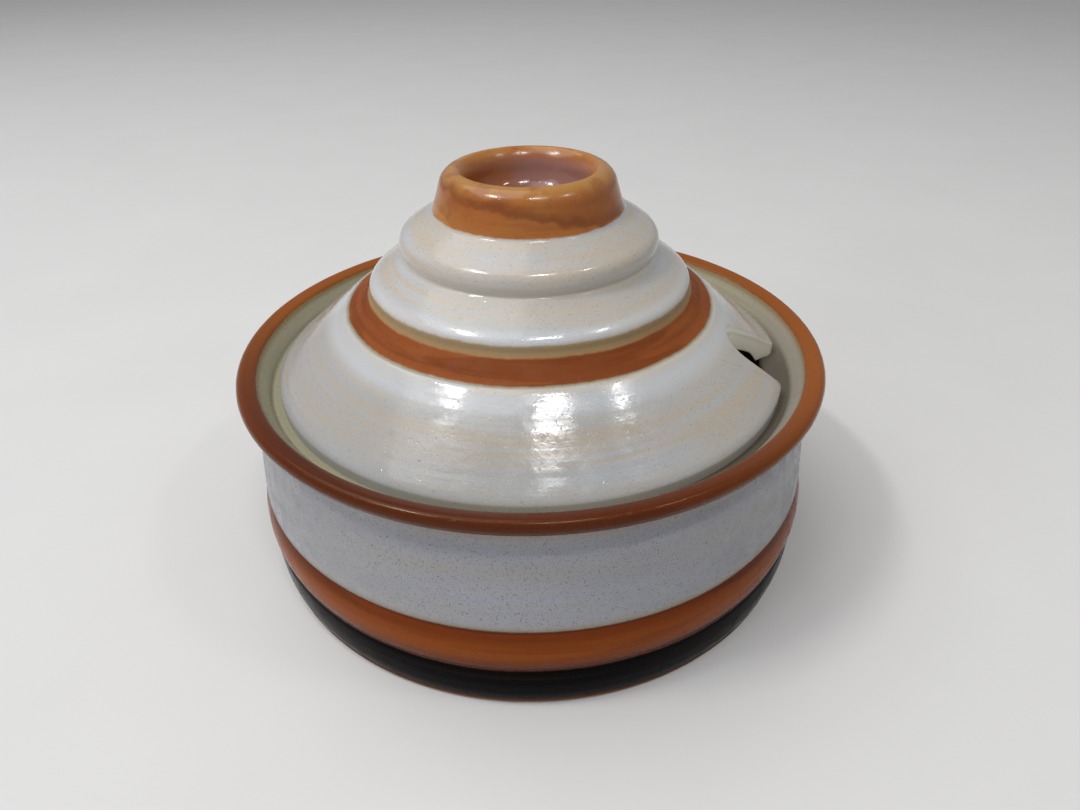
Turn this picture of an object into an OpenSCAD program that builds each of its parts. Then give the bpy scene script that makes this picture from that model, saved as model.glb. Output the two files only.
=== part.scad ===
// A lidded stoneware sugar bowl: a wheel-thrown bowl and a loose lid with a hollow knob.
// Millimetres, +Z up. The foot stands on Z = 0 and +X runs through the mouth of the spoon notch.

/* [Bowl] */
// Outer radius of the rolled rim
rim_r = 62; // [60:0.5:66]
// Height of the crest of the rim above the table
rim_z = 46.3; // [45:0.1:50]
// Radius of the wall in the neck under the rim
neck_r = 58.6; // [58.2:0.1:59]
// Radius of the crest of the brown band
band_r = 61.6; // [61.2:0.1:62]
// Outer radius of the ring that the bowl stands on
foot_r = 59.8; // [58:0.2:60.4]
// Thickness of the wall
wall = 4.2; // [3.4:0.1:5]
// Thickness of the floor
floor_t = 4.4; // [3:0.1:6]

/* [Lid seat] */
// Height of the ledge that carries the lid
ledge_z = 40.9; // [40:0.1:41.5]
// Inner radius of the ledge
ledge_r = 50.2; // [48:0.1:51]
// Radius of the wall around the ledge
seat_r = 55.8; // [55:0.1:56]

/* [Lid] */
// Outer radius of the lid
lid_r = 53.8; // [53:0.1:54.5]
// Thickness of the edge of the lid
lid_edge_t = 3.2; // [2.6:0.1:4]
// Height of the lip of the knob above the table
knob_z = 83; // [82:0.5:86]
// Outer radius of the lip of the knob
knob_r = 16.8; // [16.2:0.1:17]
// Depth of the cup in the knob
cup_depth = 9; // [7:0.5:10]

/* [Spoon notch] */
// Radius of the round root of the notch
notch_root_r = 3; // [2.4:0.1:3.6]
// Distance of the centre of the root from the axis of the lid
notch_root_x = 44.2; // [43:0.1:46]
// Sideways place of the centre of the root
notch_root_y = -6.4; // [-7:0.1:-5]
// Direction of the right-hand side of the notch, in degrees
notch_right_deg = 11; // [4:1:20]
// Direction of the left-hand side of the notch, in degrees
notch_left_deg = 50; // [36:1:56]

/* [Hidden] */
$fn = 96;
cream = [0.73, 0.71, 0.66];
pale_grey = [0.72, 0.73, 0.74];

// Bowl: heights of the glaze bands, and the foot
band_top_z = 20.2;
band_low_z = 10.8;
groove = 0.35;
foot_in_r = 52;
foot_round = 1.4;
base_recess = 1.8;
lip_round = 1.5;
rim_inner_round = 0.9;
rim_w = 4.1;
under_ledge_t = 4.4;

// Lid: the profile from the edge to the knob
slope_deg = 39.7;
edge_round = 1.8;
lid_top_z = ledge_z + lid_edge_t;
brown_out_r = 38.5;
brown_in_r = 33.5;
bead_r = 33.1;
bead_round = 2.2;
bead_z = 60.35;
bulge_r = 26.2;
bulge_round = 3;
bulge_z = 68.9;
knob_foot_r = 19.1;
knob_foot_z = 75;
knob_lip_round = 3.7;
knob_lip_r = knob_r - 2.95;
knob_turn_r = knob_r + 0.9;
knob_turn_z = knob_z - 3.8;
cup_z = knob_z - cup_depth;
cup_waist_r = 11.6;
cup_waist_z = knob_z - 0.42 * cup_depth;
cup_floor_r = 8.2;
rest_w = 4.6;
skin = 3.2;
ceiling_r = 12;
hollow_r = 23.4;
hollow_z = 63.6;
knee_r = 31.2;
knee_z = 56.4;
flange_r = 47.4;
big = 30;

// Points along a circular arc in the radius-height plane
function arc(r, z, radius, from, to, steps = 8) =
    [for (i = [0:steps]) let (a = from + (to - from) * i / steps)
        [r + radius * cos(a), z + radius * sin(a)]];

// Points along an arc through two ends, bowed to the right of the way from a to b by sag
function bow(a, b, sag, steps = 8) =
    [for (i = [0:steps]) let (t = i / steps, d = b - a, n = [d[1], -d[0]] / norm(d))
        a + d * t + n * sag * 4 * t * (1 - t)];

// Height of the sloping top of the lid at a radius
function slope_z(r) = lid_top_z + (lid_r - 1.1 - r) * tan(slope_deg);

// Outside of the bowl, from the foot up to the lip
function bowl_outside() = concat(
    [[foot_r - foot_round, 0]],
    arc(foot_r - foot_round + 0.4, foot_round, foot_round, -60, 0, 4),
    bow([foot_r + 1, 3.6], [band_r - 0.5, band_low_z - 0.4], 0.2, 4),
    [[band_r - 0.5 - groove, band_low_z]],
    bow([band_r - 0.5, band_low_z + 0.5], [band_r - 0.9, band_top_z - 0.5], 0.7),
    [[band_r - 0.9 - groove, band_top_z]],
    bow([band_r - 0.9, band_top_z + 0.5], [neck_r, ledge_z - 2], 0.25, 4),
    bow([neck_r, ledge_z - 0.5], [rim_r - 0.6, rim_z - 3], -0.8, 6),
    arc(rim_r - lip_round, rim_z - lip_round, lip_round, -20, 80, 8)
);

// Inside of the bowl, from the lip down to the middle of the floor
function bowl_inside() = concat(
    arc(rim_r - rim_w + rim_inner_round, rim_z - 0.5 - rim_inner_round, rim_inner_round, 100, 195, 6),
    arc(seat_r - 0.9, ledge_z + 0.9, 0.9, 0, -90, 5),
    arc(ledge_r + 0.7, ledge_z - 0.7, 0.7, 90, 180, 4),
    [[ledge_r, ledge_z - under_ledge_t]],
    bow([ledge_r + 0.6, ledge_z - under_ledge_t - 1], [band_r - wall - 0.9, band_top_z + 4], -1, 6),
    arc(band_r - wall - 11, base_recess + floor_t + 10, 10, 0, -90, 10),
    [[0, base_recess + floor_t]]
);

module bowl_section() {
    polygon(concat(
        [[0, base_recess], [foot_in_r - 1.5, base_recess], [foot_in_r, 0]],
        bowl_outside(),
        bowl_inside()
    ));
}

// Top of the lid, from its edge up to the lip of the knob
function lid_outside() = concat(
    arc(lid_r - 0.8, ledge_z + 0.8, 0.8, -90, 0, 4),
    arc(lid_r - edge_round, lid_top_z - edge_round + 0.6, edge_round, 0, 90 - slope_deg, 5),
    [[brown_out_r, slope_z(brown_out_r)]],
    bow([brown_out_r - 0.4, slope_z(brown_out_r) - 0.1], [brown_in_r, 59], -0.15, 3),
    arc(bead_r - bead_round, bead_z, bead_round, -10, 52, 6),
    [[bead_r - 1.3, bead_z + 2.15], [bulge_r - 0.7, bulge_z - 2.1]],
    arc(bulge_r - bulge_round, bulge_z, bulge_round, -42, 60, 10),
    bow([bulge_r - 1.9, bulge_z + 2.85], [knob_foot_r + 0.3, knob_foot_z - 0.3], 0.1, 4)
);

// Outside and cup of the knob
function knob_outside() = concat(
    bow([knob_foot_r, knob_foot_z + 0.2], [knob_turn_r, knob_turn_z], -0.06, 3),
    arc(knob_lip_r, knob_z - knob_lip_round, knob_lip_round, 18, 90, 9),
    bow([knob_lip_r - 0.1, knob_z - 0.05], [cup_waist_r, cup_waist_z], 0.42, 7),
    bow([cup_waist_r - 0.1, cup_waist_z - 0.2], [cup_floor_r, cup_z + 1], -0.55, 6),
    [[cup_floor_r - 3.2, cup_z + 0.2], [0, cup_z]]
);

// Underside of the lid, from the middle out to the rest
function lid_underside() = concat(
    [[0, cup_z - skin - 0.4]],
    bow([ceiling_r, cup_z - skin - 1], [hollow_r, hollow_z], -1.2, 5),
    [[knee_r, knee_z], [flange_r, ledge_z + skin]],
    bow([flange_r + 0.5, ledge_z + skin - 0.9], [lid_r - rest_w, ledge_z], 0, 1)
);

module lid_section() {
    polygon(concat(lid_outside(), knob_outside(), lid_underside()));
}

// A wedge with a round root, cut right through the edge of the lid
module spoon_notch() {
    root = [notch_root_x, notch_root_y];
    right_way = [cos(notch_right_deg), sin(notch_right_deg)];
    left_way = [cos(notch_left_deg), sin(notch_left_deg)];
    right_side = root + notch_root_r * [right_way[1], -right_way[0]];
    left_side = root + notch_root_r * [-left_way[1], left_way[0]];
    translate([0, 0, ledge_z - 1])
        linear_extrude(big)
            union() {
                translate(root) circle(notch_root_r);
                polygon([root, right_side, right_side + big * right_way,
                    left_side + big * left_way, left_side]);
            }
}

// The bowl: foot ring, wall with its bands, rolled rim and the ledge for the lid
module bowl() {
    color(pale_grey)
        rotate_extrude()
            bowl_section();
}

// The lid, one piece with its knob
module lid() {
    color(cream)
        difference() {
            rotate_extrude()
                lid_section();
            spoon_notch();
        }
}

bowl();
lid();
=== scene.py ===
"""A lidded stoneware sugar bowl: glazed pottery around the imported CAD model.

Each pot is lathed here from its own outline with the softness of thrown and glazed clay, and stands for
its CAD node. Outlines are in millimetres, in the plane of radius and height.
"""
import math
import bpy
import numpy as np
from mathutils import Matrix, Vector, noise


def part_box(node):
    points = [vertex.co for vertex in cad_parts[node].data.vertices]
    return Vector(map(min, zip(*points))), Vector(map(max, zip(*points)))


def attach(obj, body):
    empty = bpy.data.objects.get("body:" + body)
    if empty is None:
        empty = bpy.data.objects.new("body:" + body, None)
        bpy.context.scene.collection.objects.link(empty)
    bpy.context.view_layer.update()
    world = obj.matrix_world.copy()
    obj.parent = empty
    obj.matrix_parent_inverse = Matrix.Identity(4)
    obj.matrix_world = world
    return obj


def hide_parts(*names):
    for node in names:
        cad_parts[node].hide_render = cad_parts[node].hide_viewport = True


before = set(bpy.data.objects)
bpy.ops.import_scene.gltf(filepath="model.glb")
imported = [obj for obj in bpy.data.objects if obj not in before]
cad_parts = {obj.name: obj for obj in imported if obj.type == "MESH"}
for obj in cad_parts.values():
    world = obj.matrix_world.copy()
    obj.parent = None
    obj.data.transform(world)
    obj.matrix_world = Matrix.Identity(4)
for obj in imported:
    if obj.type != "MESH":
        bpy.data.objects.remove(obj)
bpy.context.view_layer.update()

MM = 0.001
bowl_high = Vector(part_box("bowl")[1]) / MM
lid_low, lid_high = (Vector(corner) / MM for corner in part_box("lid"))

# ---------------------------------------------------------------- sizes, in millimetres
RIM_R = round(bowl_high.x, 1)
RIM_Z = round(bowl_high.z, 1)
LEDGE_Z = round(lid_low.z, 1)
KNOB_Z = round(lid_high.z, 1)
LID_R = round(-lid_low.x, 1)

BAND_R = RIM_R - 0.4
BAND_LOW_Z = 10.8
BAND_TOP_Z = 20.2
FOOT_R = RIM_R - 2.2
FOOT_IN_R = 52.0
BASE_Z = 1.8
FLOOR_Z = 6.2
NECK_R = RIM_R - 3.4
SEAT_R = RIM_R - 6.2
LEDGE_R = 50.2
UNDER_LEDGE_T = 4.4
RIM_W = 4.1
WALL_T = 4.2
BOWL_RINGS = 0.08

EDGE_T = 3.2
SLOPE = math.tan(math.radians(39.7))
BROWN_OUT_R = 38.5
BROWN_IN_R = 33.5
BROWN_IN_Z = 59.0
BEAD_R, BEAD_Z, BEAD_ROUND = 33.1, 60.35, 2.2
BULGE_R, BULGE_Z, BULGE_ROUND = 26.2, 68.9, 3.0
KNOB_R = 16.8
KNOB_FOOT_R = 19.1
KNOB_FOOT_Z = 75.0
KNOB_LIP_R = KNOB_R - 2.95
KNOB_LIP_ROUND = 3.7
KNOB_WAIST_Z = KNOB_Z - 3.8
CUP_Z = KNOB_Z - 9.0
CUP_WAIST_R = 11.5
CUP_FLOOR_R = 8.2
SKIN_T = 3.2
CEILING_R = 12.0
HOLLOW_R, HOLLOW_Z = 23.4, 63.6
KNEE_R, KNEE_Z = 31.2, 56.4
FLANGE_R = 47.4
REST_W = 4.6
UNDER_SLOPE = 0.747
REST_SLOPE = 1.8
LID_RINGS = 0.045
LIP_RINGS = 0.03
MISSED_SPOT = (-16.0, 3.6, 82.2)
# distances that the underside of the lid is given in place of its own, far from those of the top
UNDER_ALONG = -40.0
CEILING_ALONG = -60.0

NOTCH_ROOT = np.array([44.2, -6.4])
NOTCH_ROOT_R = 3.0
NOTCH_RIGHT = math.radians(11)
NOTCH_LEFT = math.radians(50)
JOIN_R = 39.4  # the ring where the lid's shoulder, which follows the notch, meets its lathed middle


# ---------------------------------------------------------------- outlines
def arc(r, z, radius, start, stop, steps=16):
    """Points along a circular arc, with its angles in degrees."""
    angles = np.radians(np.linspace(start, stop, steps + 1))
    return [(r + radius * math.cos(a), z + radius * math.sin(a)) for a in angles]


def bow(a, b, sag, steps=16):
    """Points along an arc through two ends, bowed to the right of the way from a to b."""
    a, b = np.array(a, float), np.array(b, float)
    side = np.array([(b - a)[1], -(b - a)[0]]) / np.linalg.norm(b - a)
    return [tuple(a + (b - a) * t + side * sag * 4 * t * (1 - t)) for t in np.linspace(0, 1, steps + 1)]


class Outline:
    """A softened line in the radius-height plane, with named places along it."""

    FINE = 0.05  # step of the stored line
    REACH = 0.15  # how far each way a normal looks
    TIGHTEST = 0.22  # smallest gap between rows

    def __init__(self, pieces, soften):
        """pieces is a list of (name or None, points); a name marks the place where its points start."""
        points, starts = [], {}
        for name, piece in pieces:
            if name:
                starts[name] = len(points)
            points += piece
        points = np.array(points, float)
        along = np.concatenate([[0], np.cumsum(np.linalg.norm(np.diff(points, axis=0), axis=1))])
        self.length = along[-1]
        self.marks = {name: float(along[i]) for name, i in starts.items()}
        self.s = np.arange(0, self.length, self.FINE)
        line = np.stack([np.interp(self.s, along, points[:, k]) for k in (0, 1)], axis=1)
        self.line = smooth(line, soften / self.FINE)

    def at(self, s):
        """Radius and height at each distance along the outline."""
        return np.stack([np.interp(s, self.s, self.line[:, k]) for k in (0, 1)], axis=1)

    def normals(self, s):
        """Unit normals, to the right of the way along the outline."""
        step = self.at(s + self.REACH) - self.at(s - self.REACH)
        step /= np.linalg.norm(step, axis=1)[:, None] + 1e-9
        return np.stack([step[:, 1], -step[:, 0]], axis=1)

    def rows(self, start, stop, widest, turn=7.0):
        """Distances from start to stop, closer together where the outline turns, at most widest apart."""
        fine = np.arange(start, stop, self.FINE)
        step = np.gradient(self.at(fine), axis=0)
        heading = np.unwrap(np.arctan2(step[:, 1], step[:, 0]))
        bend = np.abs(np.gradient(heading, self.FINE)) / math.radians(turn)
        density = np.maximum(1 / widest, np.minimum(bend, 1 / self.TIGHTEST))
        count = np.concatenate([[0], np.cumsum(density[:-1] * self.FINE)])
        total = max(2, int(round(count[-1])))
        return np.interp(np.linspace(0, count[-1], total + 1), count, fine)


def smooth(line, sigma, wrap=False):
    """The line with a Gaussian blur along it, which rounds its corners and keeps its ends."""
    reach = int(sigma * 4) + 1
    kernel = np.exp(-0.5 * (np.arange(-reach, reach + 1) / sigma) ** 2)
    kernel /= kernel.sum()
    if wrap:
        padded = np.concatenate([line[-reach:], line, line[:reach]])
    else:
        head = 2 * line[0] - line[reach:0:-1]
        tail = 2 * line[-1] - line[-2:-reach - 2:-1]
        padded = np.concatenate([head, line, tail])
    return np.stack([np.convolve(padded[:, k], kernel, "valid") for k in range(line.shape[1])], axis=1)


def bowl_outline():
    """The bowl, from the middle of its underside round the foot, wall and rim to the middle of its floor."""
    groove = 0.3
    wall_low = BAND_R - 0.9
    return Outline([
        (None, [(0, BASE_Z), (FOOT_IN_R - 1.5, BASE_Z)]),
        ("foot", [(FOOT_IN_R, 0), (FOOT_R - 1.4, 0)]),
        ("foot_edge", arc(FOOT_R - 1, 1.4, 1.4, -60, 0)),
        (None, bow((FOOT_R + 1, 3.6), (BAND_R - 0.5, BAND_LOW_Z - 0.4), 0.2)),
        ("band_low", [(BAND_R - 0.5 - groove, BAND_LOW_Z)]),
        (None, bow((BAND_R - 0.5, BAND_LOW_Z + 0.5), (wall_low, BAND_TOP_Z - 0.5), 0.7)),
        ("band_top", [(wall_low - groove, BAND_TOP_Z)]),
        (None, bow((wall_low, BAND_TOP_Z + 0.5), (NECK_R, LEDGE_Z - 2), 0.25)),
        (None, bow((NECK_R, LEDGE_Z - 0.5), (RIM_R - 0.6, RIM_Z - 3), -0.8)),
        ("rim_low", arc(RIM_R - 1.54, RIM_Z - 1.5, 1.5, -20, 80)),
        ("rim_in", arc(RIM_R - RIM_W + 0.9, RIM_Z - 1.4, 0.9, 100, 195)),
        (None, arc(SEAT_R - 0.9, LEDGE_Z + 0.9, 0.9, 0, -90)),
        ("ledge", arc(LEDGE_R + 0.7, LEDGE_Z - 0.7, 0.7, 90, 180)),
        ("under_ledge", [(LEDGE_R, LEDGE_Z - UNDER_LEDGE_T)]),
        (None, bow((LEDGE_R + 0.6, LEDGE_Z - UNDER_LEDGE_T - 1),
                   (wall_low - WALL_T, BAND_TOP_Z + 4), -1)),
        (None, arc(BAND_R - WALL_T - 11, FLOOR_Z + 10, 10, 0, -90)),
        (None, [(0, FLOOR_Z)]),
    ], soften=0.3)


def slope_z(r):
    """Height of the lid's sloping shoulder."""
    return LEDGE_Z + EDGE_T + (LID_R - 1.1 - r) * SLOPE


def under_z(r):
    """Height of the lid's underside from where the two halves of its mesh meet out to its flat rest."""
    skin = LEDGE_Z + SKIN_T + (FLANGE_R - r) * UNDER_SLOPE
    flange = LEDGE_Z + np.clip((LID_R - REST_W - r) * REST_SLOPE, 0, None)
    return -smooth_max(-skin, -flange, 0.8)


def smooth_max(a, b, round_):
    """The larger of two numbers, with the crossing rounded."""
    return 0.5 * (a + b + np.sqrt((a - b) ** 2 + round_ ** 2))


def lid_outline():
    """The top of the lid inside the shoulder, from the brown band up over the knob into its cup."""
    shoulder = (JOIN_R, slope_z(JOIN_R))
    brown_out = (BROWN_OUT_R, slope_z(BROWN_OUT_R))
    brown_in = (BROWN_IN_R, BROWN_IN_Z)
    return Outline([
        (None, [shoulder]),
        ("brown_out", [brown_out]),
        (None, bow((BROWN_OUT_R - 0.4, brown_out[1] - 0.1), brown_in, -0.15)),
        ("brown_in", arc(BEAD_R - BEAD_ROUND, BEAD_Z, BEAD_ROUND, -10, 52)),
        (None, [(BEAD_R - 1.3, BEAD_Z + 2.15), (BULGE_R - 0.7, BULGE_Z - 2.1)]),
        ("bulge", arc(BULGE_R - BULGE_ROUND, BULGE_Z, BULGE_ROUND, -42, 60)),
        (None, bow((BULGE_R - 1.9, BULGE_Z + 2.85),
                   (KNOB_FOOT_R + 0.3, KNOB_FOOT_Z - 0.3), 0.1)),
        ("knob", bow((KNOB_FOOT_R, KNOB_FOOT_Z + 0.2), (KNOB_R + 0.9, KNOB_WAIST_Z), -0.06)),
        ("lip", arc(KNOB_LIP_R, KNOB_Z - KNOB_LIP_ROUND, KNOB_LIP_ROUND, 18, 86)),
        ("cup", bow((KNOB_LIP_R - 0.05, KNOB_Z - 0.05), (CUP_WAIST_R, KNOB_WAIST_Z), 0.42)),
        (None, bow((CUP_WAIST_R, KNOB_WAIST_Z - 0.2), (CUP_FLOOR_R, CUP_Z + 1), -0.55)),
        (None, [(5, CUP_Z + 0.2), (0, CUP_Z)]),
    ], soften=0.28)


def ceiling_outline():
    """The underside of the lid, from its middle out to where the two halves of its mesh meet."""
    return Outline([
        (None, [(0, CUP_Z - SKIN_T - 0.4)]),
        (None, bow((CEILING_R, CUP_Z - SKIN_T - 1), (HOLLOW_R, HOLLOW_Z), -1.2)),
        (None, [(KNEE_R, KNEE_Z), (JOIN_R - 2, under_z(JOIN_R - 2))]),
    ], soften=0.8)


# ---------------------------------------------------------------- clay
def throwing_marks(point, along, depth):
    """How far the clay stands proud of its outline at a place: faint rings that wander round the pot."""
    way = math.atan2(point[1], point[0])
    near = Vector((math.cos(way) * 0.7, math.sin(way) * 0.7, along * 0.42 + way / math.tau * 0.42))
    far = Vector((math.cos(way) * 0.9, math.sin(way) * 0.9, along * 0.11 + 9))
    return depth * (0.6 * noise.noise(near) + noise.noise(far))


def mesh_object(name, points, faces, along, material, cut=None):
    """A smooth mesh object in metres.

    Its points keep their distance along the outline, and how much they belong to a cut face.
    """
    mesh = bpy.data.meshes.new(name)
    mesh.from_pydata([tuple(p) for p in np.asarray(points) * MM], [], faces)
    fields = {"along": along} if cut is None else {"along": along, "cut": cut}
    for key, values in fields.items():
        layer = mesh.attributes.new(key, "FLOAT", "POINT")
        layer.data.foreach_set("value", np.asarray(values, np.float32))
    mesh.validate()
    mesh.polygons.foreach_set("use_smooth", [True] * len(mesh.polygons))
    mesh.materials.append(material)
    mesh.update()
    piece = bpy.data.objects.new(name, mesh)
    bpy.context.collection.objects.link(piece)
    return piece


def ring_faces(rows, columns):
    """Quads between neighbouring rings of a grid that closes round its columns."""
    faces = []
    for i in range(rows - 1):
        for j in range(columns):
            k = (j + 1) % columns
            faces.append((i * columns + j, i * columns + k, (i + 1) * columns + k, (i + 1) * columns + j))
    return faces


def cap(faces, first, columns, middle, upward):
    """Triangles from one ring to a point in its middle."""
    for j in range(columns):
        k = (j + 1) % columns
        faces.append((first + j, first + k, middle) if upward else (first + k, first + j, middle))


def make_bowl(material):
    """The whole bowl as one lathed skin."""
    outline = bowl_outline()
    marks = outline.marks
    columns = 400
    seen_from, seen_to, rim_in = marks["foot_edge"], marks["under_ledge"], marks["rim_in"]
    s = np.concatenate([
        outline.rows(FOOT_IN_R * 0.5, seen_from, 3.0, 14)[:-1],
        outline.rows(seen_from, seen_to, 0.5)[:-1],
        outline.rows(seen_to, outline.length - 1.5, 1.4, 12),
    ])
    flat = outline.at(s)
    normal = outline.normals(s)
    depth = BOWL_RINGS * np.interp(s, [seen_from, seen_from + 3, rim_in, rim_in + 2], [0, 1, 0.7, 0])
    points, along = [], []
    for i in range(len(s)):
        for j in range(columns):
            angle = math.tau * j / columns
            way = (math.cos(angle), math.sin(angle))
            out = throwing_marks(way, s[i], depth[i]) if depth[i] > 0 else 0
            r = flat[i, 0] + normal[i, 0] * out
            points.append((way[0] * r, way[1] * r, flat[i, 1] + normal[i, 1] * out))
            along.append(s[i])
    faces = ring_faces(len(s), columns)
    points += [(0, 0, BASE_Z), (0, 0, FLOOR_Z)]
    along += [0, outline.length]
    count = len(s) * columns
    cap(faces, 0, columns, count, False)
    cap(faces, count - columns, columns, count + 1, True)
    return mesh_object("bowl_pot", points, faces, along, material)


def lid_edge():
    """The lid's edge from above, with the spoon notch.

    Returns each column's place, its outward normal, how much it's part of the notch, and its angle on the
    ring where it joins the lathed part, and the number of columns.
    """
    fine = 0.05
    right = np.array([math.cos(NOTCH_RIGHT), math.sin(NOTCH_RIGHT)])
    left = np.array([math.cos(NOTCH_LEFT), math.sin(NOTCH_LEFT)])
    right_start = NOTCH_ROOT + NOTCH_ROOT_R * np.array([right[1], -right[0]])
    left_start = NOTCH_ROOT + NOTCH_ROOT_R * np.array([-left[1], left[0]])

    def reach(start, way):
        """Where a side of the notch leaves the round edge."""
        b = start @ way
        return start + way * (math.sqrt(b * b - start @ start + LID_R ** 2) - b)

    right_end, left_end = reach(right_start, right), reach(left_start, left)
    turn_from = math.atan2(left_end[1], left_end[0])
    turn_to = math.atan2(right_end[1], right_end[0]) + math.tau
    rim = [LID_R * np.array([math.cos(a), math.sin(a)]) for a in np.linspace(turn_from, turn_to, 2000)]
    root_from = math.atan2(*(right_start - NOTCH_ROOT)[::-1])
    root_to = math.atan2(*(left_start - NOTCH_ROOT)[::-1]) - math.tau
    root = [NOTCH_ROOT + NOTCH_ROOT_R * np.array([math.cos(a), math.sin(a)])
            for a in np.linspace(root_from, root_to, 60)]
    path = np.array(rim + [right_end] + root + [left_end])
    far = np.concatenate([[0], np.cumsum(np.linalg.norm(np.diff(path, axis=0), axis=1))])
    s = np.arange(0, far[-1], fine)
    line = np.stack([np.interp(s, far, path[:, k]) for k in (0, 1)], axis=1)
    line = smooth(line, 0.9 / fine, wrap=True)
    cut_from, cut_to = far[len(rim) - 1], far[-1]
    step = np.roll(line, -1, axis=0) - np.roll(line, 1, axis=0)
    step /= np.linalg.norm(step, axis=1)[:, None]
    normal = np.stack([step[:, 1], -step[:, 0]], axis=1)
    notch = np.clip((s - cut_from + 1.5) / 3, 0, 1) * np.clip((cut_to - s + 1.5) / 3, 0, 1)
    density = np.where((s > cut_from - 4) | (s < 4), 1 / 0.42, 1 / 0.86)
    count = np.cumsum(density) * fine
    columns = int(round(count[-1]))
    pick = np.interp(np.arange(columns) * count[-1] / columns, count, s)
    take = np.clip(np.round(pick / fine).astype(int), 0, len(s) - 1)
    # each column's angle on the ring where it joins the lathed part: straight inward far from the notch,
    # and spread evenly behind the notch
    keys = [0, cut_from, 0.5 * (cut_from + cut_to), cut_to]
    spread = np.interp(s, keys, np.radians([24, 330, 349, 384]))
    inward = np.unwrap(np.arctan2(line[:, 1], line[:, 0]))
    on_rim = 1 - np.clip((LID_R - np.linalg.norm(line, axis=1)) / 0.05, 0, 1)
    blend = np.clip(np.minimum(s, cut_from - s) / 52, 0, 1)
    blend = blend * blend * (3 - 2 * blend) * on_rim
    anchor = np.maximum.accumulate(spread * (1 - blend) + inward * blend)
    return line[take], normal[take], notch[take], anchor[take], columns


def make_lid(material):
    """The lid: a lathed middle, and a shoulder whose grid follows its edge and the spoon notch."""
    edge, outward, notch, anchor, columns = lid_edge()
    outline = lid_outline()
    tilt = math.sqrt(1 + SLOPE ** 2)
    shoulder_length = (LID_R - JOIN_R) * tilt
    points, along, cut = [], [], []

    def ring(plan, height, place, cut_face):
        """One closed ring of points."""
        for (x, y), z, where, face in zip(plan, height, place, cut_face):
            points.append((x, y, z))
            along.append(where)
            cut.append(face)

    def radius(plan):
        """Distance of each point of a ring from the axis."""
        return np.linalg.norm(plan, axis=1)

    def place(plan):
        """Distance of each point of a ring down the shoulder from its join, as a negative number."""
        return (JOIN_R - radius(plan)) * tilt

    joined = np.stack([np.cos(anchor), np.sin(anchor)], axis=1)
    none = np.zeros(columns)
    rows = 0

    # underside, from the middle out
    ceiling = ceiling_outline()
    for s in ceiling.rows(4, ceiling.length, 1.6, 12):
        r, z = ceiling.at(np.array([s]))[0]
        ring(joined * r, np.full(columns, z), np.full(columns, CEILING_ALONG - s), none)
        rows += 1
    under_round = 0.8 - 0.2 * notch
    start = joined * (JOIN_R - 2)
    stop = edge - outward * under_round[:, None]
    for t in np.linspace(0, 1, 16)[1:]:
        plan = start + (stop - start) * t
        ring(plan, under_z(radius(plan)), np.full(columns, UNDER_ALONG), none)
        rows += 1
    for turn in np.radians([18, 36, 54, 72, 90]):
        plan = edge - outward * (under_round * (1 - math.sin(turn)))[:, None]
        ring(plan, under_z(radius(plan)) + under_round * (1 - math.cos(turn)),
             np.full(columns, UNDER_ALONG), notch)
        rows += 1

    # wall of the edge and of the notch
    top_in = 1.25 - 0.25 * notch
    top_drop = 0.5 + 0.35 * notch
    low = under_z(radius(edge)) + under_round
    high = slope_z(radius(edge)) - top_drop
    for t in (0.25, 0.5, 0.75):
        ring(edge, low + (high - low) * t, place(edge), notch)
        rows += 1
    for turn in np.radians([90, 76, 62, 48, 34, 20, 8]):
        plan = edge - outward * (top_in * (1 - math.sin(turn)))[:, None]
        ring(plan, slope_z(radius(plan)) - top_drop * (1 - math.cos(turn)), place(plan),
             notch * max(0.0, math.sin(turn) - 0.4))
        rows += 1
    start = edge - outward * top_in[:, None]
    stop = joined * JOIN_R
    for t in np.linspace(0, 1, 40)[:-1]:
        plan = start + (stop - start) * t
        ring(plan, slope_z(radius(plan)), place(plan), none)
        rows += 1

    # top, from the shoulder to the knob and down into its cup
    for s in outline.rows(0, outline.length - 1.2, 0.5):
        r, z = outline.at(np.array([s]))[0]
        ring(joined * r, np.full(columns, z), np.full(columns, s), none)
        rows += 1

    points = np.array(points)
    along = np.array(along)
    faces = ring_faces(rows, columns)
    count = rows * columns
    points = press(points, along, outline, shoulder_length)
    points = np.concatenate([points, [(0, 0, CUP_Z - SKIN_T - 0.4), (0, 0, CUP_Z)]])
    along = np.concatenate([along, [CEILING_ALONG, outline.length]])
    cap(faces, 0, columns, count, False)
    cap(faces, count - columns, columns, count + 1, True)
    return mesh_object("lid_pot", points, faces, along, material, np.concatenate([cut, [0, 0]]))


def press(points, along, outline, shoulder_length):
    """Throwing marks pressed into the lid's top."""
    depth = np.interp(along, [-shoulder_length + 1.5, -shoulder_length + 4, outline.marks["knob"],
                              outline.marks["lip"], outline.length],
                      [0, LID_RINGS, LID_RINGS, LIP_RINGS, 0])
    moved = points.copy()
    for n in np.nonzero(depth > 0)[0]:
        moved[n, 2] += throwing_marks(points[n], along[n], depth[n])
    return moved


# ---------------------------------------------------------------- glaze
def srgb(red, green, blue):
    """A colour given as it looks on a screen, from 0 to 255, as linear light."""
    def linear(c):
        """One channel."""
        c /= 255
        return c / 12.92 if c <= 0.04045 else ((c + 0.055) / 1.055) ** 2.4
    return (linear(red), linear(green), linear(blue), 1.0)


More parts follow.
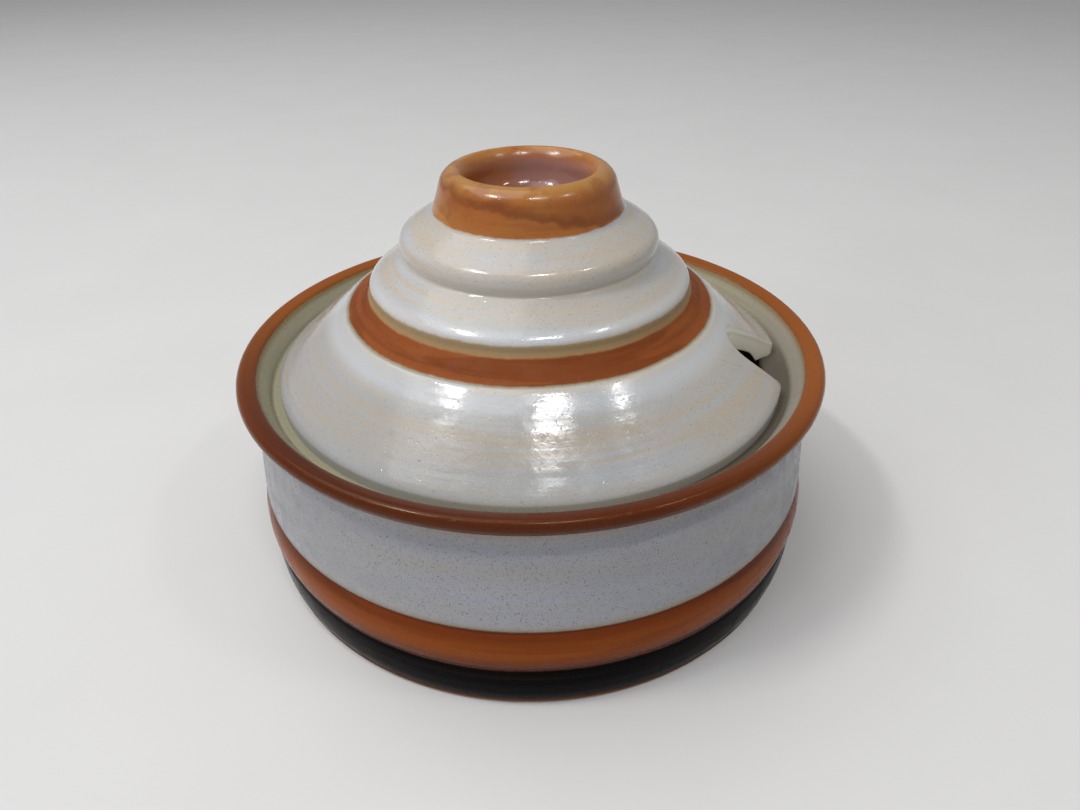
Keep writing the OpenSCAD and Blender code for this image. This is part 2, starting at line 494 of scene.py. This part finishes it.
class Surface:
    """A node material, with one short call for each kind of node."""

    def __init__(self, name):
        self.material = bpy.data.materials.new(name)
        self.material.use_nodes = True
        self.nodes = self.material.node_tree.nodes
        self.links = self.material.node_tree.links
        self.nodes.clear()
        self.shader = self.nodes.new("ShaderNodeBsdfPrincipled")
        output = self.nodes.new("ShaderNodeOutputMaterial")
        self.links.new(self.shader.outputs[0], output.inputs["Surface"])
        place = self.nodes.new("ShaderNodeTexCoord").outputs["Object"]
        self.mm = self.scaled(place, (1 / MM,) * 3)
        flat = self.scaled(place, (1, 1, 0))
        unit = self.nodes.new("ShaderNodeVectorMath")
        unit.operation = "NORMALIZE"
        self.links.new(flat, unit.inputs[0])
        self.way = unit.outputs[0]
        self.along = self.field("along")

    def put(self, value, socket):
        """Sets a socket to a number or colour, or links it to another socket."""
        if isinstance(value, bpy.types.NodeSocket):
            self.links.new(value, socket)
        else:
            socket.default_value = value

    def field(self, name):
        """A number kept on the mesh's points."""
        node = self.nodes.new("ShaderNodeAttribute")
        node.attribute_name = name
        return node.outputs["Fac"]

    def facing(self, way):
        """How far a place lies round the pot towards a direction, from -1 to 1."""
        node = self.nodes.new("ShaderNodeVectorMath")
        node.operation = "DOT_PRODUCT"
        self.links.new(self.way, node.inputs[0])
        node.inputs[1].default_value = way
        return node.outputs["Value"]

    def distance(self, place):
        """Distance in millimetres from a place on the pot."""
        node = self.nodes.new("ShaderNodeVectorMath")
        node.operation = "DISTANCE"
        self.links.new(self.mm, node.inputs[0])
        node.inputs[1].default_value = place
        return node.outputs["Value"]

    def math(self, operation, a, b=0.0):
        """A sum, difference, product or other plain operation on one or two numbers."""
        node = self.nodes.new("ShaderNodeMath")
        node.operation = operation
        self.put(a, node.inputs[0])
        self.put(b, node.inputs[1])
        return node.outputs[0]

    def scaled(self, vector, factors):
        """A vector with each part multiplied by its own factor."""
        node = self.nodes.new("ShaderNodeVectorMath")
        node.operation = "MULTIPLY"
        self.put(vector, node.inputs[0])
        node.inputs[1].default_value = factors
        return node.outputs[0]

    def added(self, a, b):
        """The sum of two vectors."""
        node = self.nodes.new("ShaderNodeVectorMath")
        node.operation = "ADD"
        self.put(a, node.inputs[0])
        self.put(b, node.inputs[1])
        return node.outputs[0]

    def rise(self, value, low, high, to=1.0):
        """Goes smoothly from 0 to a number while the value goes from low to high."""
        node = self.nodes.new("ShaderNodeMapRange")
        node.interpolation_type = "SMOOTHSTEP"
        self.put(value, node.inputs["Value"])
        node.inputs["From Min"].default_value = low
        node.inputs["From Max"].default_value = high
        node.inputs["To Max"].default_value = to
        return node.outputs[0]

    def between(self, value, low, high, soft):
        """One between two places along the outline, and zero outside them."""
        return self.math("MULTIPLY", self.rise(value, low - soft, low + soft),
                         self.math("SUBTRACT", 1.0, self.rise(value, high - soft, high + soft)))

    def near(self, value, centre, width):
        """One at a place along the outline, falling smoothly to zero at a distance from it."""
        gap = self.math("ABSOLUTE", self.math("SUBTRACT", value, centre))
        return self.math("SUBTRACT", 1.0, self.rise(gap, 0.0, width))

    def mixed(self, kind, amount, a, b):
        """A mix node; only the sockets of the kind in use are enabled."""
        node = self.nodes.new("ShaderNodeMix")
        node.data_type = kind
        for value, socket in zip((amount, a, b), [socket for socket in node.inputs if socket.enabled]):
            self.put(value, socket)
        return next(socket for socket in node.outputs if socket.enabled)

    def mix(self, amount, a, b):
        """A colour that goes from a to b."""
        return self.mixed("RGBA", amount, a, b)

    def blend(self, amount, a, b):
        """A number that goes from a to b."""
        return self.mixed("FLOAT", amount, a, b)

    def cloud(self, vector, scale, detail=3.0, roughness=0.55):
        """Soft noise, from 0 to 1."""
        node = self.nodes.new("ShaderNodeTexNoise")
        self.put(vector, node.inputs["Vector"])
        node.inputs["Scale"].default_value = scale
        node.inputs["Detail"].default_value = detail
        node.inputs["Roughness"].default_value = roughness
        return node.outputs["Fac"]

    def round_the_pot(self, across, up, offset=0.0):
        """A place for noise that runs in long streaks round the pot, as a turning wheel leaves them."""
        height = self.nodes.new("ShaderNodeCombineXYZ")
        self.put(self.math("MULTIPLY", self.along, up), height.inputs["Z"])
        flat = self.scaled(self.way, (across, across, 0))
        return self.added(self.added(flat, height.outputs[0]), (offset, offset, offset))

    def bump(self, height, depth, normal=None):
        """A normal that follows a height, whose full range is a depth in millimetres."""
        node = self.nodes.new("ShaderNodeBump")
        node.inputs["Strength"].default_value = 1.0
        node.inputs["Distance"].default_value = depth * MM
        self.links.new(height, node.inputs["Height"])
        if normal is not None:
            self.links.new(normal, node.inputs["Normal"])
        return node.outputs[0]

    def finish(self, colour, roughness, normal, specular=0.5, tint=(1, 1, 1, 1), ior=1.5):
        """The finished material."""
        self.links.new(colour, self.shader.inputs["Base Color"])
        self.put(roughness, self.shader.inputs["Roughness"])
        self.put(specular, self.shader.inputs["Specular IOR Level"])
        self.put(tint, self.shader.inputs["Specular Tint"])
        self.links.new(normal, self.shader.inputs["Normal"])
        self.shader.inputs["IOR"].default_value = ior
        return self.material


CREAM = srgb(172, 172, 169)
CREAM_WARM = srgb(181, 168, 150)
CREAM_COOL = srgb(177, 181, 187)
CREAM_GREEN = srgb(146, 143, 118)
# painted shade on the bowl's inner wall by the notch
CREAM_INSIDE_PAINTED_SHADE = srgb(146, 138, 128)
# painted shade on the lid's outer shoulder
CREAM_PAINTED_SHADE = srgb(126, 124, 121)
# painted sheen and highlight on the lid
CREAM_PAINTED_SHEEN = srgb(197, 203, 209)
# painted light under the lid's bulge
CREAM_PAINTED_LIGHT = srgb(198, 191, 176)
# the notch's cut face: its own paler tone with painted light
CREAM_CUT_PAINTED_LIGHT = srgb(240, 238, 220)
# painted shadow on the ledge by the notch
GAP_PAINTED_SHADOW = srgb(66, 60, 46)
GREY = srgb(152, 154, 161)
GREY_DARK = srgb(144, 146, 153)
GREY_WARM = srgb(153, 148, 137)
SPECK = srgb(90, 82, 74)
KHAKI = srgb(148, 121, 80)
KHAKI_GREEN = srgb(128, 122, 88)
BROWN = srgb(126, 64, 26)
BROWN_DARK = srgb(94, 40, 10)
KNOB_BROWN = srgb(163, 98, 40)
KNOB_DARK = srgb(138, 76, 32)
KNOB_PALE = srgb(168, 122, 60)
BAND_BROWN = srgb(134, 68, 24)
RIM_BROWN = srgb(108, 48, 18)
RIM_DARK = srgb(66, 28, 10)
# painted reflection on the rim's far half
RIM_PAINTED_REFLECTION = srgb(142, 80, 28)
# painted reflection inside the knob's cup
PLUM_PAINTED_REFLECTION = srgb(130, 92, 86)
BLACK = srgb(7, 6, 6)
CLAY = srgb(104, 66, 42)
WHITE = (1.0, 1.0, 1.0, 1.0)
IRON_SHEEN = (1.0, 0.78, 0.60, 1.0)
PAPER = srgb(206, 205, 203)
PAPER_PALE = srgb(213, 212, 210)


def cream_glaze(surface, base, warm, cool, streak, dust, pepper):
    """Cream glaze with peach streaks round the pot, cool thick places and iron specks."""
    wide = surface.cloud(surface.round_the_pot(0.8, 0.22), 1.0, 3)
    fine = surface.cloud(surface.round_the_pot(0.55, 0.8, 5.0), 1.0, 3, 0.55)
    patch = surface.cloud(surface.round_the_pot(1.1, 0.09, 11.0), 1.0, 3)
    colour = surface.mix(surface.rise(patch, 0.42, 0.66, 0.7), base, cool)
    colour = surface.mix(surface.rise(wide, 0.40, 0.70, streak), colour, warm)
    colour = surface.mix(surface.rise(fine, 0.44, 0.72, streak), colour, warm)
    flecks = surface.cloud(surface.mm, 3.1, 1)
    spots = surface.cloud(surface.mm, 1.7, 1)
    colour = surface.mix(surface.rise(flecks, 0.56, 0.76, dust), colour, SPECK)
    return surface.mix(surface.rise(spots, 0.70, 0.78, pepper), colour, SPECK)


def brown_glaze(surface, main, dark, pale, offset=0.0):
    """Iron-brown glaze brushed on while the pot turns: overlapping strokes, paler where it's thin."""
    stroke = surface.cloud(surface.round_the_pot(1.1, 0.5, offset), 1.0, 4, 0.6)
    overlap = surface.cloud(surface.round_the_pot(0.55, 0.13, offset + 3.0), 1.0, 2)
    patch = surface.cloud(surface.round_the_pot(0.9, 0.2, offset + 7.0), 1.0, 3)
    colour = surface.mix(surface.rise(patch, 0.44, 0.66, 0.55), main, pale)
    colour = surface.mix(surface.rise(stroke, 0.46, 0.72, 0.55), colour, dark)
    colour = surface.mix(surface.rise(overlap, 0.515, 0.545, 0.45), colour, dark)
    grain = surface.cloud(surface.mm, 1.6, 2)
    return surface.mix(surface.rise(grain, 0.56, 0.78, 0.35), colour, dark)


def wavy(surface, size=0.5):
    """The distance along the outline, made a little uneven so that glaze edges wander."""
    slow = surface.math("SUBTRACT", surface.cloud(surface.round_the_pot(2.2, 0.0, 2.0), 1.0, 2), 0.5)
    quick = surface.math("SUBTRACT", surface.cloud(surface.mm, 0.6, 2), 0.5)
    slow = surface.math("MULTIPLY", slow, size * 2)
    quick = surface.math("MULTIPLY", quick, size)
    return surface.math("ADD", surface.along, surface.math("ADD", slow, quick))


def glaze_relief(surface, peel, rings):
    """Orange peel, pinholes and faint wheel rings."""
    ring = surface.cloud(surface.round_the_pot(0.7, 0.5, 3.0), 1.0, 2)
    skin = surface.cloud(surface.mm, 0.5, 3)
    pits = surface.cloud(surface.mm, 1.9, 1.5)
    normal = surface.bump(ring, rings)
    normal = surface.bump(skin, peel, normal)
    return surface.bump(surface.rise(pits, 0.62, 0.76), -0.02, normal)


def lid_material():
    """Glossy cream lid with one brown band and a brown knob."""
    marks = lid_outline().marks
    surface = Surface("lid_glaze")
    s = wavy(surface, 0.4)
    colour = cream_glaze(surface, CREAM, CREAM_WARM, CREAM_COOL, 0.8, 0.25, 0.4)
    # Painted shade: the outer shoulder is darkened towards a grey all round, fading out on the side towards
    # +x.
    shoulder = surface.math("SUBTRACT", 1.0, surface.rise(s, -1.0, 1.0))
    to_right = surface.facing((0.98, 0.18, 0.0))
    painted_shade = surface.math("SUBTRACT", 0.34, surface.rise(to_right, 0.2, 0.9, 0.34))
    colour = surface.mix(surface.math("MULTIPLY", shoulder, painted_shade), colour, CREAM_PAINTED_SHADE)
    band_in = marks["brown_in"] - 1.1
    band_out = marks["brown_out"] + 0.7
    # Painted sheen: a pale bluish band on the shoulder just below the brown band.
    painted_sheen_under_band = surface.near(s, band_out - 3.5, 4.5)
    colour = surface.mix(surface.math("MULTIPLY", painted_sheen_under_band, 0.45), colour, CREAM_PAINTED_SHEEN)
    # Painted light: the lower side of the bulge is lightened as if lit from below.
    painted_light_under_bulge = surface.near(s, marks["bulge"] + 0.6, 2.4)
    colour = surface.mix(surface.math("MULTIPLY", painted_light_under_bulge, 0.7), colour, CREAM_PAINTED_LIGHT)
    # Painted highlight: the top of the bead is made pale and bluish.
    painted_bead_highlight = surface.near(s, marks["brown_in"] + 2.7, 2.0)
    colour = surface.mix(surface.math("MULTIPLY", painted_bead_highlight, 0.35), colour, CREAM_PAINTED_SHEEN)
    strip = surface.between(s, band_in - 0.5, band_in + 2.3, 0.3)
    mottle = surface.rise(surface.cloud(surface.mm, 1.1, 3), 0.48, 0.76)
    khaki = surface.mix(mottle, KHAKI, KHAKI_GREEN)
    colour = surface.mix(surface.math("MULTIPLY", strip, 0.92), colour, khaki)
    line = surface.near(s, band_in, 1.1)
    colour = surface.mix(surface.math("MULTIPLY", line, 0.35), colour, KNOB_BROWN)
    halo = surface.near(s, band_out - 0.1, 0.9)
    colour = surface.mix(surface.math("MULTIPLY", halo, 0.7), colour, KHAKI_GREEN)
    band = surface.between(s, band_out, band_in, 0.3)
    colour = surface.mix(band, colour, brown_glaze(surface, BROWN, BROWN_DARK, KNOB_DARK))
    knob = surface.rise(s, marks["knob"] - 0.25, marks["knob"] + 0.2)
    brush = brown_glaze(surface, KNOB_BROWN, KNOB_DARK, KNOB_PALE, 6.0)
    stroke = surface.math("SUBTRACT", s, marks["knob"] + 3.0)
    stroke = surface.math("ADD", stroke, surface.math("MULTIPLY", to_right, 3.2))
    blotch = surface.math("SUBTRACT", surface.cloud(surface.mm, 0.16, 3), 0.5)
    stroke = surface.math("ADD", stroke, surface.math("MULTIPLY", blotch, 5.0))
    overlap = surface.math("MULTIPLY", surface.rise(stroke, -0.4, 0.5, 0.55),
                           surface.math("SUBTRACT", 1.0, surface.rise(stroke, 0.6, 3.0)))
    brush = surface.mix(overlap, brush, BROWN_DARK)
    lip_s = surface.math("ADD", s, surface.math("MULTIPLY", blotch, 4.0))
    lip = surface.near(lip_s, marks["lip"] + 3.4, 3.2)
    brush = surface.mix(surface.math("MULTIPLY", lip, 0.75), brush, KNOB_PALE)
    brush = surface.mix(surface.rise(blotch, 0.02, 0.16, 0.6), brush, KNOB_DARK)
    colour = surface.mix(knob, colour, brush)
    missed = surface.math("SUBTRACT", 1.0, surface.rise(surface.distance(MISSED_SPOT), 1.1, 1.7))
    colour = surface.mix(missed, colour, CREAM_COOL)
    # The cup keeps the knob's dark brown glaze and turns plum towards one side; the plum is a painted
    # reflection.
    cup = surface.rise(s, marks["cup"] + 0.6, marks["cup"] + 4.0, 0.9)
    side = surface.math("ADD", surface.facing((0.8, 0.6, 0.0)), surface.math("MULTIPLY", blotch, 1.5))
    colour = surface.mix(cup, colour, surface.mix(surface.rise(side, -0.6, 0.5), KNOB_DARK, PLUM_PAINTED_REFLECTION))
    ceiling = surface.math("SUBTRACT", 1.0, surface.rise(surface.along, CEILING_ALONG, UNDER_ALONG - 5.0))
    colour = surface.mix(surface.math("MULTIPLY", ceiling, 0.3), colour, CREAM_GREEN)
    # The notch's cut face takes a near-white cream: its own paler tone, lightened further as painted light.
    colour = surface.mix(surface.math("MULTIPLY", surface.field("cut"), 0.95), colour, CREAM_CUT_PAINTED_LIGHT)
    sheen = surface.cloud(surface.mm, 0.3, 3)
    gloss = surface.blend(knob, surface.rise(sheen, 0.1, 0.9, 0.30), surface.rise(sheen, 0.0, 1.0, 0.35))
    gloss = surface.blend(cup, gloss, surface.rise(sheen, 0.0, 1.0, 0.26))
    matt = surface.math("MAXIMUM", band, strip)
    gloss = surface.blend(matt, gloss, surface.math("ADD", surface.rise(sheen, 0.0, 1.0, 0.4), 0.45))
    shine = surface.blend(matt, 0.5, 0.25)
    tint = surface.mix(band, WHITE, IRON_SHEEN)
    return surface.finish(colour, gloss, glaze_relief(surface, 0.03, 0.04), shine, tint)


def bowl_material():
    """Satin grey bowl with a brown rim and band, and a black foot."""
    marks = bowl_outline().marks
    surface = Surface("bowl_glaze")
    s = wavy(surface, 0.3)
    wall = cream_glaze(surface, GREY, GREY_WARM, GREY_DARK, 0.4, 0.65, 0.7)
    inside = cream_glaze(surface, CREAM_GREEN, CREAM_WARM, CREAM_GREEN, 0.35, 0.3, 0.5)
    # Painted shade: the inner wall is darker on the side towards the notch.
    painted_shade_by_notch = surface.rise(surface.facing((0.96, -0.28, 0.0)), 0.5, 1.0, 0.85)
    inside = surface.mix(painted_shade_by_notch, inside, CREAM_INSIDE_PAINTED_SHADE)
    colour = surface.mix(surface.rise(s, marks["rim_in"], marks["rim_in"] + 0.6), wall, inside)
    # Painted shadow: round the ledge on the notch side, the inner wall is darkened to stand for the dark gap
    # by the lid's edge.
    gap = surface.math("MULTIPLY", surface.between(s, marks["ledge"] - 5.0, marks["ledge"] + 1.0, 0.6),
                       surface.rise(surface.facing((0.94, -0.34, 0.0)), 0.6, 0.95, 0.85))
    colour = surface.mix(gap, colour, GAP_PAINTED_SHADOW)
    rim_low, rim_in = marks["rim_low"] - 3.8, marks["rim_in"] + 0.9
    for centre, width in ((rim_low - 0.4, 3.0), (rim_in + 0.4, 1.4), (marks["band_top"] + 0.4, 1.7)):
        halo = surface.near(s, centre, width)
        colour = surface.mix(surface.math("MULTIPLY", halo, 0.6), colour, KHAKI)
    band = surface.between(s, marks["band_low"], marks["band_top"], 0.25)
    crest = surface.near(s, 0.5 * (marks["band_low"] + marks["band_top"]), 4.5)
    brown = surface.mix(crest, brown_glaze(surface, RIM_BROWN, RIM_DARK, RIM_BROWN, 4.0),
                        brown_glaze(surface, BAND_BROWN, RIM_BROWN, BAND_BROWN, 2.0))
    rim = surface.between(s, rim_low, rim_in, 0.3)
    # Painted shade: the rim is darker on its near side, towards -y.
    near_side_painted_shade = surface.rise(surface.facing((0.18, -0.98, 0.0)), 0.2, 0.9, 0.6)
    brown = surface.mix(surface.math("MULTIPLY", near_side_painted_shade, rim), brown, RIM_DARK)
    # Painted reflection: the rim is paler on its far half, towards +y.
    far_side_painted_reflection = surface.rise(surface.facing((0.1, 0.98, 0.0)), -0.9, 0.1, 0.75)
    brown = surface.mix(surface.math("MULTIPLY", far_side_painted_reflection, rim), brown, RIM_PAINTED_REFLECTION)
    colour = surface.mix(surface.math("MAXIMUM", band, rim), colour, brown)
    foot = surface.math("SUBTRACT", 1.0, surface.rise(s, marks["band_low"] - 0.3, marks["band_low"] + 0.2))
    streaks = surface.cloud(surface.round_the_pot(1.2, 0.7, 8.0), 1.0, 4)
    black = surface.mix(surface.rise(streaks, 0.5, 0.75, 0.25), BLACK, RIM_DARK)
    colour = surface.mix(foot, colour, black)
    for edge in ("band_low", "band_top"):
        line = surface.near(s, marks[edge], 0.6)
        colour = surface.mix(surface.math("MULTIPLY", line, 0.8), colour, RIM_DARK)
    bare = surface.between(s, marks["foot"] - 1.0, marks["foot_edge"] + 1.9, 0.5)
    colour = surface.mix(bare, colour, CLAY)
    sheen = surface.cloud(surface.mm, 0.3, 3)
    dull = surface.rise(sheen, 0.0, 1.0, 0.8)
    shiny = surface.rise(sheen, 0.0, 1.0, 0.42)
    gloss = surface.blend(surface.math("MAXIMUM", surface.math("MAXIMUM", band, rim), foot), dull, shiny)
    gloss = surface.blend(bare, gloss, 0.85)
    shine = surface.blend(foot, surface.blend(band, 0.35, 0.12), 0.04)
    tint = surface.mix(surface.math("MAXIMUM", band, rim), WHITE, IRON_SHEEN)
    return surface.finish(colour, gloss, glaze_relief(surface, 0.03, 0.04), shine, tint, 1.38)


# ---------------------------------------------------------------- studio
def floor_material():
    """Pale matt paper."""
    surface = Surface("floor_paper")
    grain = surface.cloud(surface.mm, 0.02, 3)
    colour = surface.mix(grain, PAPER, PAPER_PALE)
    return surface.finish(colour, 0.7, surface.bump(surface.cloud(surface.mm, 0.8, 2), 0.01))


def make_floor():
    """A plain pale floor, wide enough to fill the view."""
    size = 4.0
    mesh = bpy.data.meshes.new("floor")
    corners = [(-size, -size, 0), (size, -size, 0), (size, size, 0), (-size, size, 0)]
    mesh.from_pydata(corners, [], [(0, 1, 2, 3)])
    mesh.materials.append(floor_material())
    floor = bpy.data.objects.new("floor", mesh)
    bpy.context.collection.objects.link(floor)


WORLD_COLOUR = (0.96, 0.97, 1.0, 1)
WORLD_STRENGTH = 0.33
FILL_COLOUR = (0.90, 0.91, 1.0)
# each lamp's name, its direction from the middle of the lid, its width and its power
LAMPS = (
    ("lamp_left", (-0.50, -0.18, 0.847), 0.18, 2.0),
    ("lamp_middle", (0.12, -0.42, 0.90), 0.19, 1.7),
    ("lamp_right", (0.545, -0.206, 0.813), 0.12, 0.6),
)
LAMP_FAR = 0.9
LAMP_HEIGHT = 0.05
LID_MIDDLE = 0.06

CAMERA_SWING = math.radians(10.6)
CAMERA_PITCH = math.radians(33.20)
CAMERA_YAW = math.radians(0.70)
CAMERA_ROLL = math.radians(-0.70)
CAMERA_OUT = 2.393 * RIM_R
CAMERA_UP = RIM_Z - 1.0 + 1.278 * RIM_R
SENSOR = 36.0
FOCAL_SHARE = 760 / 1080  # the focal length as a share of the frame's width
LENS = SENSOR * FOCAL_SHARE


def turned(vector):
    """A direction or place turned about the pot's axis by the camera's swing."""
    c, s = math.cos(CAMERA_SWING), math.sin(CAMERA_SWING)
    return Vector((vector[0] * c - vector[1] * s, vector[0] * s + vector[1] * c, vector[2]))


def make_camera():
    """The camera, looking down at the pot from its near side."""
    ahead = turned((math.sin(CAMERA_YAW) * math.cos(CAMERA_PITCH),
                    math.cos(CAMERA_YAW) * math.cos(CAMERA_PITCH), -math.sin(CAMERA_PITCH)))
    level = turned((math.cos(CAMERA_YAW), -math.sin(CAMERA_YAW), 0))
    above = level.cross(ahead)
    right = level * math.cos(CAMERA_ROLL) + above * math.sin(CAMERA_ROLL)
    up = above * math.cos(CAMERA_ROLL) - level * math.sin(CAMERA_ROLL)
    data = bpy.data.cameras.new("camera")
    data.sensor_fit = "HORIZONTAL"
    data.sensor_width = SENSOR
    data.lens = LENS
    data.clip_start = 0.005
    camera = bpy.data.objects.new("camera", data)
    place = turned((0, -CAMERA_OUT, CAMERA_UP)) * MM
    camera.matrix_world = Matrix((
        (right.x, up.x, -ahead.x, place.x),
        (right.y, up.y, -ahead.y, place.y),
        (right.z, up.z, -ahead.z, place.z),
        (0, 0, 0, 1),
    ))
    bpy.context.collection.objects.link(camera)
    bpy.context.scene.camera = camera


def area_light(name, place, target, width, height, power, colour=(1, 1, 1)):
    """A rectangular soft box, with its place and target in metres as seen from the camera's side."""
    data = bpy.data.lights.new(name, "AREA")
    data.shape = "RECTANGLE"
    data.size, data.size_y = width, height
    data.energy = power
    data.color = colour
    light = bpy.data.objects.new(name, data)
    place, target = turned(place), turned(target)
    light.location = place
    light.rotation_euler = (target - place).to_track_quat("-Z", "Y").to_euler()
    bpy.context.collection.objects.link(light)
    return light


def make_lights():
    """A pale world, a soft box over the left, a dim fill and three small lamps that the glaze mirrors."""
    world = bpy.data.worlds.new("studio")
    world.use_nodes = True
    background = world.node_tree.nodes["Background"]
    background.inputs["Color"].default_value = WORLD_COLOUR
    background.inputs["Strength"].default_value = WORLD_STRENGTH
    bpy.context.scene.world = world
    area_light("softbox", place=(-0.55, 0.08, 1.33), target=(0, 0, 0.05), width=1.4, height=1.1, power=8.7)
    fill = area_light("fill", place=(-1.1, -0.75, 0.5), target=(0, 0, 0.03), width=0.7, height=0.7, power=5.2,
                      colour=FILL_COLOUR)
    fill.visible_glossy = False
    for name, way, width, power in LAMPS:
        x, y, z = (LAMP_FAR * part for part in way)
        area_light(name, place=(x, y, z + LID_MIDDLE), target=(0, 0, LID_MIDDLE), width=width,
                   height=LAMP_HEIGHT, power=power)
    bpy.context.scene.view_settings.view_transform = "Standard"


# ---------------------------------------------------------------- the scene
make_camera()
make_floor()
make_lights()

bowl = make_bowl(bowl_material())
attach(bowl, "bowl")
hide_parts("bowl")

lid = make_lid(lid_material())
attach(lid, "lid")
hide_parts("lid")
